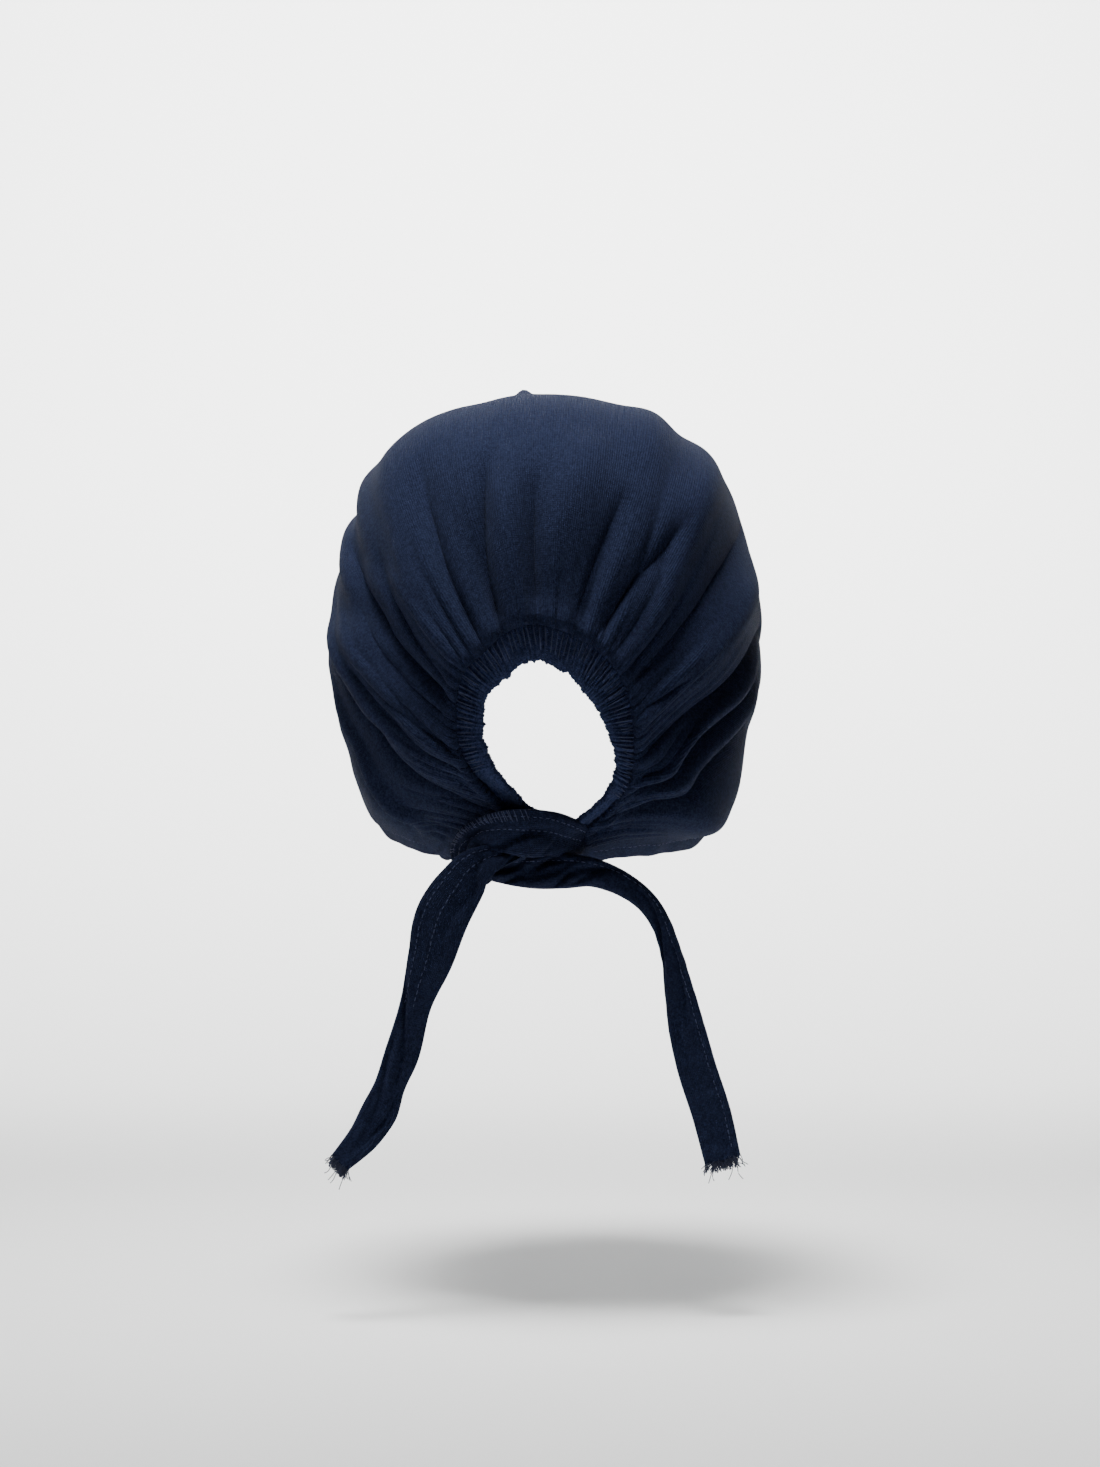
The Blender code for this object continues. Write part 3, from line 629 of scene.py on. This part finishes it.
# rows: left, back and up in strands, the way the face looks, width and thickness in strands
rightKnot = (
    (-1.95, -0.42, 0.16, -0.1, 0.75, -0.35, 1.35, 0.30),
    (-1.42, 0.16, 0.36, 0.0, 0.9, -0.25, 1.55, 0.52),
    (-0.78, 0.76, 0.56, 0.0, 0.95, -0.2, 1.62, 0.62),
    (0.00, 1.18, 0.60, 0.0, 1.0, 0.0, 1.72, 0.70),
    (0.90, 1.28, 0.66, 0.0, 1.0, 0.0, 1.52, 0.70),
    (1.75, 0.98, 0.54, 0.25, 0.97, 0.1, 1.15, 0.56),
    (2.38, 0.30, 0.04, 0.5, 0.85, 0.0, 0.95, 0.40),
    (2.38, -0.38, -0.75, 0.5, 0.6, -0.6, 0.90, 0.30),
    (2.02, -0.98, -1.22, 0.1, 0.0, -1.0, 0.90, 0.26),
    (1.60, -1.50, -0.80, -0.1, -1.0, -0.3, 0.90, 0.24),
    (1.15, -1.50, -0.12, -0.1, -1.0, 0.3, 0.90, 0.24),
    (0.70, -0.98, 0.10, 0.0, -0.4, 0.9, 0.95, 0.22),
    (0.45, -0.35, 0.00, 0.0, 0.0, 1.0, 1.00, 0.20),
    (0.40, 0.42, -0.06, 0.0, 0.2, 1.0, 0.90, 0.20),
    (0.88, 1.20, -0.14, 0.0, 0.9, 0.45, 0.80, 0.26),
    (1.48, 1.42, -0.32, 0.05, 1.0, 0.15, 1.10, 0.28),
    (2.02, 1.38, -0.68, 0.05, 1.0, 0.1, 1.45, 0.28),
    (2.42, 1.28, -1.22, 0.0, 1.0, 0.05, 1.72, 0.27),
)
leftKnot = (
    (2.70, -1.40, 0.25, 0.45, 0.8, -0.35, 0.50, 0.22),
    (2.35, -1.02, -0.30, 0.3, 0.9, -0.3, 0.80, 0.36),
    (1.60, -0.52, -0.62, 0.15, 1.0, -0.1, 0.88, 0.55),
    (0.75, -0.12, -0.78, 0.0, 1.0, 0.0, 1.02, 0.72),
    (-0.30, 0.15, -0.80, 0.0, 1.0, 0.0, 1.24, 0.80),
    (-1.30, 0.20, -0.78, 0.0, 1.0, 0.0, 1.24, 0.80),
    (-2.20, 0.20, -0.82, 0.0, 1.0, 0.0, 1.05, 0.75),
    (-2.85, 0.20, -1.02, 0.0, 1.0, 0.1, 0.95, 0.60),
)
# rows: drop, left and back of tail, the way the face looks, width and thickness shares
leftTail = (
    (0.20, 0.272, 0.110, 0.0, 1.0, 0.1, 0.96, 1.0),
    (0.35, 0.317, 0.090, 0.1, 1.0, 0.1, 0.82, 1.0),
    (0.48, 0.359, 0.075, 0.0, 1.0, 0.0, 0.58, 1.3),
    (0.66, 0.410, 0.070, -0.1, 1.0, 0.0, 0.62, 1.3),
    (0.75, 0.445, 0.075, -0.2, 1.0, 0.0, 0.56, 1.4),
    (0.83, 0.477, 0.080, -0.2, 1.0, 0.0, 0.66, 1.2),
    (0.90, 0.519, 0.090, -0.1, 1.0, 0.0, 0.58, 1.3),
    (0.99, 0.602, 0.100, 0.0, 1.0, 0.0, 0.40, 1.3),
)
rightTail = (
    (0.18, -0.383, 0.030, 0.3, 0.9, 0.3, 0.38, 1.7),
    (0.25, -0.424, 0.030, 0.5, 0.9, 0.2, 0.36, 1.7),
    (0.34, -0.453, 0.025, 0.5, 0.9, 0.0, 0.42, 1.5),
    (0.45, -0.476, 0.025, 0.3, 1.0, 0.0, 0.54, 1.2),
    (0.57, -0.500, 0.030, 0.2, 1.0, 0.0, 0.66, 1.0),
    (0.69, -0.530, 0.040, 0.1, 1.0, 0.0, 0.70, 1.0),
    (0.84, -0.578, 0.050, 0.0, 1.0, 0.0, 0.70, 1.0),
    (0.985, -0.613, 0.065, 0.0, 1.0, 0.0, 0.66, 1.0),
)
# share of the tie's length at start and end, place across at each, depth in millimetres, half width
leftTailFolds = (
    (0.68, 0.88, -1.05, 0.35, 2.6, 0.16), (0.78, 0.97, -0.80, -0.10, 1.6, 0.20),
    (0.86, 1.00, 0.60, 0.15, 1.5, 0.15), (0.50, 0.66, 0.70, 0.25, 1.2, 0.18),
)
rightTailFolds = (
    (0.42, 0.62, 0.30, -0.85, 2.4, 0.18), (0.52, 0.72, 0.65, 0.20, 1.4, 0.16),
    (0.68, 0.92, -0.45, -0.15, 0.9, 0.20), (0.92, 1.00, 0.10, 0.40, 1.4, 0.20),
)


def tieShape(knotRows, tailRows):
    knot, tail = np.array(knotRows), np.array(tailRows)
    hanging = np.stack([tail[:, 1], tail[:, 2], -tail[:, 0]], axis=-1) * tie["tail"]
    tied = knot[:, :3] * tie["strand"]
    centres = knotMiddle + [0, tie["standoff"], 0] + np.concatenate([tied, hanging])
    looks = unit(np.concatenate([knot[:, 3:6], tail[:, 3:6]]))
    tailSizes = tail[:, 6:] * [tie["width"], tie["thickness"]]
    sizes = np.concatenate([knot[:, 6:] * tie["strand"], tailSizes])
    table = np.column_stack([along(centres), centres, looks, sizes])
    rows = readTable(table, np.linspace(0, 1, tie["sections"]))
    centre, look, width, thickness = rows[:, :3], rows[:, 3:6], rows[:, 6], rows[:, 7]
    forward = unit(np.gradient(centre, axis=0))
    across = unit(np.cross(look, forward))
    knotShare = float(along(centres)[len(knot) - 1])
    return centre, across, np.cross(forward, across), width, thickness, forward, knotShare


def makeTie(name, knotRows, tailRows, tailFolds, replaced, stitchLines):
    centre, across, outward, width, thickness, forward, knotShare = tieShape(knotRows, tailRows)
    t = np.linspace(0, 1, len(centre))[:, None]
    sectionC, sectionS = strapSection(tie)
    c = sectionC[None]
    crumple = tie["crumple"] * np.sin(t * 120) * np.sin(t * 47 + 2)
    wrinkle = tie["wrinkle"] * (
        np.sin(c * 5 + t * 31 + 2 * np.sin(t * 17)) * np.sin(t * 23 + 1)
        + 0.6 * np.sin(c * 9 - t * 54) * np.sin(t * 61)
    )
    inKnot = 1 - smoothStep((t - knotShare + 0.04) / 0.10)
    for k in range(tie["pleats"]):  # they cross the strap at a slant, as it is twisted tight
        at = knotShare * (k + rng.uniform(0, 1)) / tie["pleats"]
        middle = rng.uniform(-0.5, 0.5) + rng.uniform(6, 18) * (t - at) + 0.15 * np.sin(t * 60 + k)
        depth = np.exp(-((t - at) / rng.uniform(0.03, 0.07)) ** 2) * rng.uniform(0.6, 1.2)
        pleat = np.exp(-np.abs((c - middle) / tie["pleatWidth"]) ** 1.4)
        wrinkle = wrinkle - tie["pleatDepth"] * inKnot * depth * pleat
    for start, end, near, far, deep, wide in tailFolds:
        span = (t - start) / (end - start)
        middle = near + (far - near) * smoothStep(span)
        fade = np.sin(math.pi * np.clip(span, 0, 1)) ** 0.7
        wrinkle = wrinkle - deep / 1000 * fade * np.exp(-np.abs((c - middle) / wide) ** 1.3)
        wrinkle = wrinkle + 0.4 * deep / 1000 * fade * np.exp(-((c - middle - 1.6 * wide) / wide) ** 2)
    wrinkle = wrinkle * (1 - tie["edgeHold"] * np.abs(c) ** 5)  # the strap's two edges stay smooth
    rings = strapRings(
        tie, centre + outward * crumple, across, outward, width, thickness,
        grooves(sectionC, stitchLines), wrinkle,
    )
    # the ties take the darker copy of the jersey, with painted shade in its colour
    piece = strapPiece(name, rings, tiePaintedShade, replaced)
    return {"rings": rings, "c": sectionC, "s": sectionS, "outward": outward, "forward": forward}


# each tie starts at its own side and hangs on the other
rightTie = makeTie(
    "right_tie_strap", rightKnot, leftTail, leftTailFolds, ["right_tie"], tie["rightLines"])
leftTie = makeTie(
    "left_tie_strap", leftKnot, rightTail, rightTailFolds, ["left_tie"], tie["leftLines"])


# one mesh of many thin tubes, each along its own points
def tubes(name, paths, radius, sides, material):
    points, faces, base = [], [], 0
    angle = np.linspace(0, 2 * math.pi, sides, endpoint=False)[:, None]
    for path in paths:
        forward = unit(np.gradient(path, axis=0))
        side = unit(np.cross(forward, [0.31, 0.17, 0.93]))  # any direction that no thread follows
        other = np.cross(forward, side)
        ring = path[:, None] + radius * (side[:, None] * np.cos(angle) + other[:, None] * np.sin(angle))
        faces += (gridFaces(len(path), sides, True) + base).tolist()
        faces.append([base + k for k in reversed(range(sides))])
        faces.append([base + (len(path) - 1) * sides + k for k in range(sides)])
        points.append(ring.reshape(-1, 3))
        base += len(points[-1])
    return addPiece(
        name, inFrame(np.concatenate(points)), faces, material, np.zeros((base, 2)))


# the point of a strap's outer side that lies nearest to a place across
def nearestPoint(c, s, at):
    return int(np.argmin(np.abs(c - at) + (s < 0) * 9))


# the points of a strap's outer side, in order across
def outerPoints(c, s):
    seen = np.flatnonzero(s > 0)
    return seen[np.argsort(c[seen])]


sewing = {
    "length": 0.0015, "gap": 0.0008, "jitter": 0.0002, "wander": 0.00008,
    "radius": 0.00017, "hemRadius": 0.000153, "sink": 0.00002,
    "rise": (-1.0, 0.55, 0.8, 0.55, -1.0),  # in radii, along one stitch
}


# running stitches along a line on the cloth, each a short tube that dips at its ends
def stitchRow(line, outward):
    steps = distances(line)
    pitch = sewing["length"] + sewing["gap"]
    rise = np.array(sewing["rise"])[:, None] * sewing["radius"] - sewing["sink"]
    made = []
    for k in range(int(steps[-1] / pitch)):
        at = k * pitch + np.linspace(0, sewing["length"], len(rise))
        at = at + rng.uniform(-sewing["jitter"], sewing["jitter"])
        points = between(at, steps, line) + between(at, steps, outward) * rise
        made.append(points + rng.normal(0, sewing["wander"], 3))
    return made


def tieStitches(made, lines, end):
    last = int(end * len(made["rings"]))
    rows = []
    for at in lines:
        j = nearestPoint(made["c"], made["s"], at)
        rows += stitchRow(made["rings"][:last, j], made["outward"][:last])
    return rows


# overlock loops over the edge of the knot's upper roll, from inner to outer across it
serge = {
    "start": 0.10, "end": 0.24, "inner": -0.55, "outer": -0.97, "pitch": 0.0008, "radius": 0.00017,
    "missed": 0.15, "thinning": 6, "lean": 3, "rise": (-1.0, 0.6, 0.8, 0.8, 0.7, 0.2),
}


def sergedEdge(made):
    rings, seen = made["rings"], outerPoints(made["c"], made["s"])
    seenC = made["c"][seen]
    first, last = (int(serge[key] * len(rings)) for key in ("start", "end"))
    steps = distances(rings[first:last].mean(1))
    rise = np.array(serge["rise"])[:, None] * serge["radius"]
    share = np.linspace(0, 1, len(rise))[:, None]
    paths = []
    for k in range(int(steps[-1] / serge["pitch"])):
        part = k * serge["pitch"] / steps[-1]
        if rng.uniform() < serge["missed"] or rng.uniform() > serge["thinning"] * min(part, 1 - part):
            continue
        reached = (k + rng.uniform(-0.3, 0.3)) * serge["pitch"]
        i = first + int(np.interp(reached, steps, np.arange(last - first)))
        at = np.linspace(serge["inner"] + rng.uniform(0, 0.15), serge["outer"], len(rise))
        near = between(at, seenC, rings[i, seen])
        far = between(at, seenC, rings[min(i + serge["lean"], len(rings) - 1), seen])
        paths.append(near * (1 - share) + far * share + made["outward"][i] * rise)
    return paths


tubes("serged_edge", sergedEdge(rightTie), serge["radius"], 5, thread)
tieRows = tieStitches(rightTie, tie["rightLines"], tie["rightStitchedTo"])
tieRows += tieStitches(leftTie, tie["leftLines"], tie["leftStitchedTo"])
tubes("tie_stitching", tieRows, sewing["radius"], 6, thread)
hemRows = []
for at in hem["lines"]:
    hemRows += stitchRow(hemRings[:, nearestPoint(hemC, hemS, at)], edgeFace)
tubes("hem_stitching", hemRows, sewing["hemRadius"], 5, thread)

# one thread over each rib holds the casing's pleats at its outer border
casingRows = []
seen = outerPoints(casingC, casingS)
rise = np.array([-1.2, 0.3, 0.7, 0.8, 0.7, 0.3, -1.2])[:, None] * casing["threadRadius"]
share = np.linspace(0, 1, len(rise))[:, None]
for k in range(casing["ribs"]):
    i = min(int((k + rng.uniform(-0.15, 0.15)) * casing["perRib"]), ribStations - 1)
    if ribbed[i] < 0.4:
        continue
    at = np.linspace(rng.uniform(-0.50, -0.05), rng.uniform(0.80, 0.98), len(rise))
    i = max(i, 3)
    leaning = int(np.clip(i + rng.integers(-3, 4), 0, ribStations - 1))
    near, far = (between(at, casingC[seen], casingRings[n, seen]) for n in (i, leaning))
    casingRows.append(near * (1 - share) + far * share + casingFace[i] * rise)
tubes("casing_stitching", casingRows, casing["threadRadius"], 5, thread)
print("stitches:", len(tieRows) + len(hemRows) + len(casingRows))

fray = {
    "count": 240, "length": (0.0012, 0.0038), "radius": 0.00015,
    "loose": 4, "looseLength": (0.005, 0.010), "held": 0.0008,
    "aimAcross": 0.45, "aimOut": 0.3, "bendAcross": 0.5, "bendOut": 0.4, "droop": 0.5, "curl": 0.12,
}


def frayedEnd(made):
    end, ahead, out = (made[key][-1] for key in ("rings", "forward", "outward"))
    across = unit(end[np.argmax(made["c"])] - end[np.argmin(made["c"])])
    paths = []
    for k in range(fray["count"] + fray["loose"]):
        loose = k >= fray["count"]
        length = rng.uniform(*(fray["looseLength"] if loose else fray["length"]))
        j = rng.integers(len(end))
        base = end.mean(0) + (end[j] - end.mean(0)) * rng.uniform(0.3, 0.97) - ahead * fray["held"]
        aim = ahead + across * rng.normal(0, fray["aimAcross"]) + out * rng.normal(0, fray["aimOut"])
        bend = across * rng.normal(0, fray["bendAcross"]) + out * rng.normal(0, fray["bendOut"])
        bend = bend + [0, 0, -fray["droop"]]
        t = np.linspace(0, 1, 12 if loose else 5)[:, None]
        curl = across * np.sin(t * rng.uniform(3, 8) + rng.uniform(0, 6)) * fray["curl"]
        paths.append(base + length * (unit(aim) * t + bend * t * t * 0.7 + curl * t))
    return paths


frayPaths = frayedEnd(rightTie) + frayedEnd(leftTie)
tubes("frayed_ends", frayPaths, fray["radius"], 5, frayThread)
print("fray:", len(frayPaths), "strands")

# floor and backdrop in one pale sweep
stage = {
    "floor": -0.335, "wall": -1.6, "near": 2.4, "side": 3.2, "high": 2.6, "bend": 0.9,
    "color": (0.86, 0.865, 0.86), "roughness": 0.9,
}
path = [(stage["near"], stage["floor"])]
for k in range(17):
    a = k / 16 * math.pi / 2
    path.append((
        stage["wall"] + stage["bend"] * (1 - math.sin(a)),
        stage["floor"] + stage["bend"] * (1 - math.cos(a)),
    ))
path.append((stage["wall"], stage["high"]))
sweep = bpy.data.meshes.new("sweep")
points = [(x, y, z) for y, z in path for x in (-stage["side"], stage["side"])]
sweep.from_pydata(points, [], gridFaces(len(path), 2, False).tolist())
sweep.shade_smooth()
floorMaterial, _, floorShader = newMaterial("paleSweep")
floorShader.inputs["Base Color"].default_value = (*stage["color"], 1)
floorShader.inputs["Roughness"].default_value = stage["roughness"]
sweep.materials.append(floorMaterial)
sweepObject = bpy.data.objects.new("sweep", sweep)
bpy.context.scene.collection.objects.link(sweepObject)

# a wide overhead light, a weak one beside the camera, and one that only brightens the wall
lights = {
    "overhead": {
        "at": (0.13, 0.20, 1.25), "aim": (0, 0, -0.05), "size": 0.5, "power": 5.7, "spread": 60},
    "side": {"at": (1.6, 0.25, 0.3), "aim": (0, 0, -0.1), "size": 0.8, "power": 0.5, "spread": 60},
    "wall": {"at": (0, -0.5, 1.0), "aim": (0, -1.6, 0.5), "size": 1.8, "power": 70, "spread": 104},
}
ambient = {"color": (0.93, 0.95, 1.0), "strength": 0.085}
for name, light in lights.items():
    data = bpy.data.lights.new(name, "AREA")
    data.size = light["size"]
    data.energy = light["power"]
    data.spread = math.radians(light["spread"])
    lamp = bpy.data.objects.new(name, data)
    lamp.location = light["at"]
    aim = Vector(light["aim"]) - Vector(light["at"])
    lamp.rotation_euler = aim.to_track_quat("-Z", "Y").to_euler()
    bpy.context.scene.collection.objects.link(lamp)

world = bpy.data.worlds.new("studio")
world.use_nodes = True
background = world.node_tree.nodes["Background"]
background.inputs["Color"].default_value = (*ambient["color"], 1)
background.inputs["Strength"].default_value = ambient["strength"]
bpy.context.scene.world = world

# straight from behind, at the height of the ears
view = {"distance": 1.300, "across": -0.0019, "height": -0.1268, "lens": 84.2}
cameraData = bpy.data.cameras.new("camera")
cameraData.lens = view["lens"]
cameraData.sensor_width = 36
cameraData.clip_start = 0.05
camera = bpy.data.objects.new("camera", cameraData)
camera.location = (view["across"], view["distance"], view["height"])
camera.rotation_euler = (math.pi / 2, 0, math.pi)
bpy.context.scene.collection.objects.link(camera)
bpy.context.scene.camera = camera

bpy.context.view_layer.update()
print("scene done")
